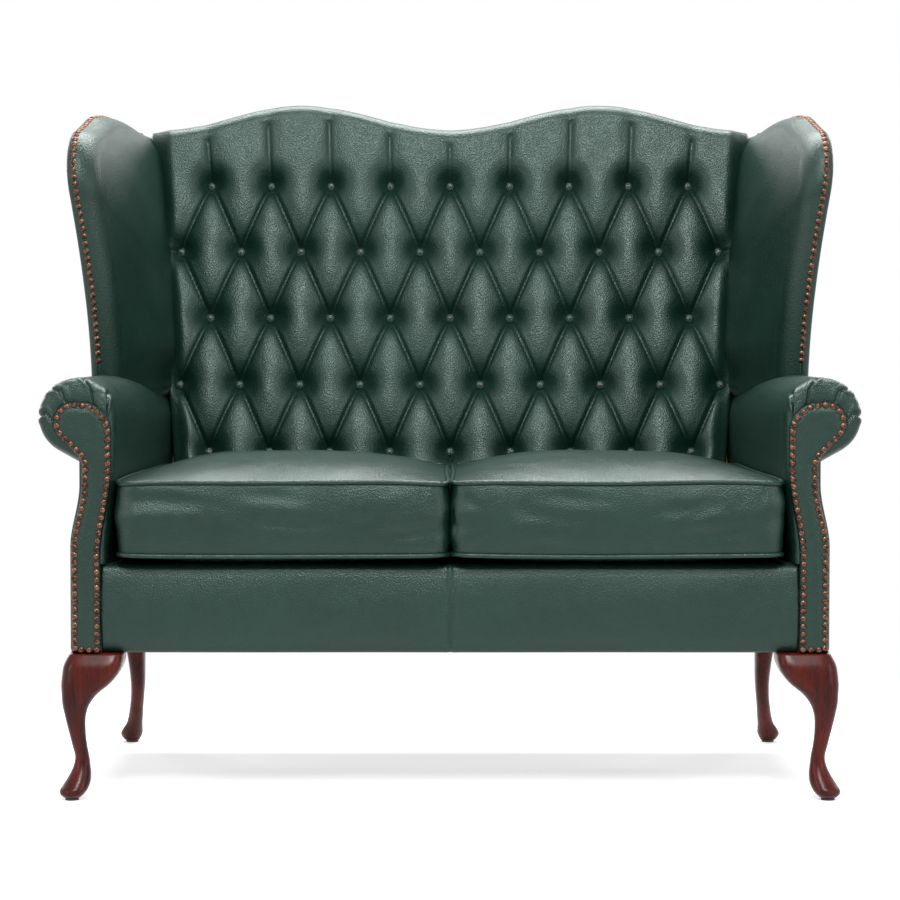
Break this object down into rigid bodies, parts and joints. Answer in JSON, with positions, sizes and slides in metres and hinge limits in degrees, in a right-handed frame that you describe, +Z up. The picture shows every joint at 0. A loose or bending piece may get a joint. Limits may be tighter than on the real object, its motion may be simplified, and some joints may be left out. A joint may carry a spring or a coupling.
{
  "type": "chesterfield sofa",
  "caption": "Wing-back chesterfield sofa with a deep-buttoned camel back, scroll arms, nailed facings, loose box seat cushions and cabriole legs.",
  "frame": {"origin": "on the floor, at the middle of the sofa's width and depth", "axes": "+X to the viewer's right along the width, +Y to the back, +Z up; the seat faces -Y"},
  "size_m": [1.3026, 0.8293, 1.1329],
  "materials": {
    "green_leather": "soft satin, fine pebble grain",
    "mahogany": "dark polished",
    "frame_timber": "sawn, unfinished",
    "antique_nail": "antiqued, dark in the hollows",
    "steel": "plain",
    "foam": "open cell",
    "jute": "woven",
    "lining": "woven",
    "dust_cloth": "woven",
    "zip": "matt",
    "glide_plastic": "matt"
  },
  "bodies": {
    "frame": {"arm_cover_left": "green_leather", "arm_cover_right": "green_leather", "arm_facing_left": "green_leather", "arm_facing_right": "green_leather", "arm_foam": "foam", "arm_rails": "frame_timber", "arm_stump_left": "frame_timber", "arm_stump_right": "frame_timber", "back_centre_slat": "frame_timber", "back_cover": "green_leather", "back_foam": "foam", "back_post_left": "frame_timber", "back_post_right": "frame_timber", "back_tack_rail": "frame_timber", "back_webbing": "jute", "block_screws": "steel", "button_twines": "jute", "centre_seat_brace": "frame_timber", "corner_blocks": "frame_timber", "crest_rail": "frame_timber", "dust_cover": "dust_cloth", "facing_nails": "antique_nail", "foot_glides": "glide_plastic", "frame_dowels": "frame_timber", "front_border_cover": "green_leather", "front_border_foam": "foam", "front_leg_left": "mahogany", "front_leg_right": "mahogany", "front_seat_rail": "frame_timber", "leg_bolts": "steel", "outside_arm_left": "green_leather", "outside_arm_right": "green_leather", "outside_back": "green_leather", "outside_wing_left": "green_leather", "outside_wing_right": "green_leather", "platform_cover": "lining", "platform_pad": "foam", "rear_leg_left": "mahogany", "rear_leg_right": "mahogany", "rear_seat_rail": "frame_timber", "seat_hessian": "jute", "seat_springs": "steel", "side_seat_rail_left": "frame_timber", "side_seat_rail_right": "frame_timber", "spring_clips": "steel", "tuft_buttons": "green_leather", "wing_board_left": "frame_timber", "wing_board_right": "frame_timber", "wing_cover_left": "green_leather", "wing_cover_right": "green_leather", "wing_foam": "foam", "wing_nails": "antique_nail"},
    "seat_cushion_left": {"cushion_core_left": "foam", "cushion_cover_left": "green_leather", "cushion_zip_left": "zip"},
    "seat_cushion_right": {"cushion_core_right": "foam", "cushion_cover_right": "green_leather", "cushion_zip_right": "zip"},
    "zip_slider_left": {"zip_slider_left": "zip"},
    "zip_slider_right": {"zip_slider_right": "zip"}
  },
  "joints": [
    {"name": "seat_cushion_left_lift", "type": "slide", "parent": "frame", "child": "seat_cushion_left", "axis": [0, 0, 1], "range_m": [0, 0.3]},
    {"name": "seat_cushion_right_lift", "type": "slide", "parent": "frame", "child": "seat_cushion_right", "axis": [0, 0, 1], "range_m": [0, 0.3]},
    {"name": "zip_left_slide", "type": "slide", "parent": "seat_cushion_left", "child": "zip_slider_left", "axis": [-1, 0, 0], "range_m": [0, 0.386]},
    {"name": "zip_right_slide", "type": "slide", "parent": "seat_cushion_right", "child": "zip_slider_right", "axis": [1, 0, 0], "range_m": [0, 0.386]}
  ]
}
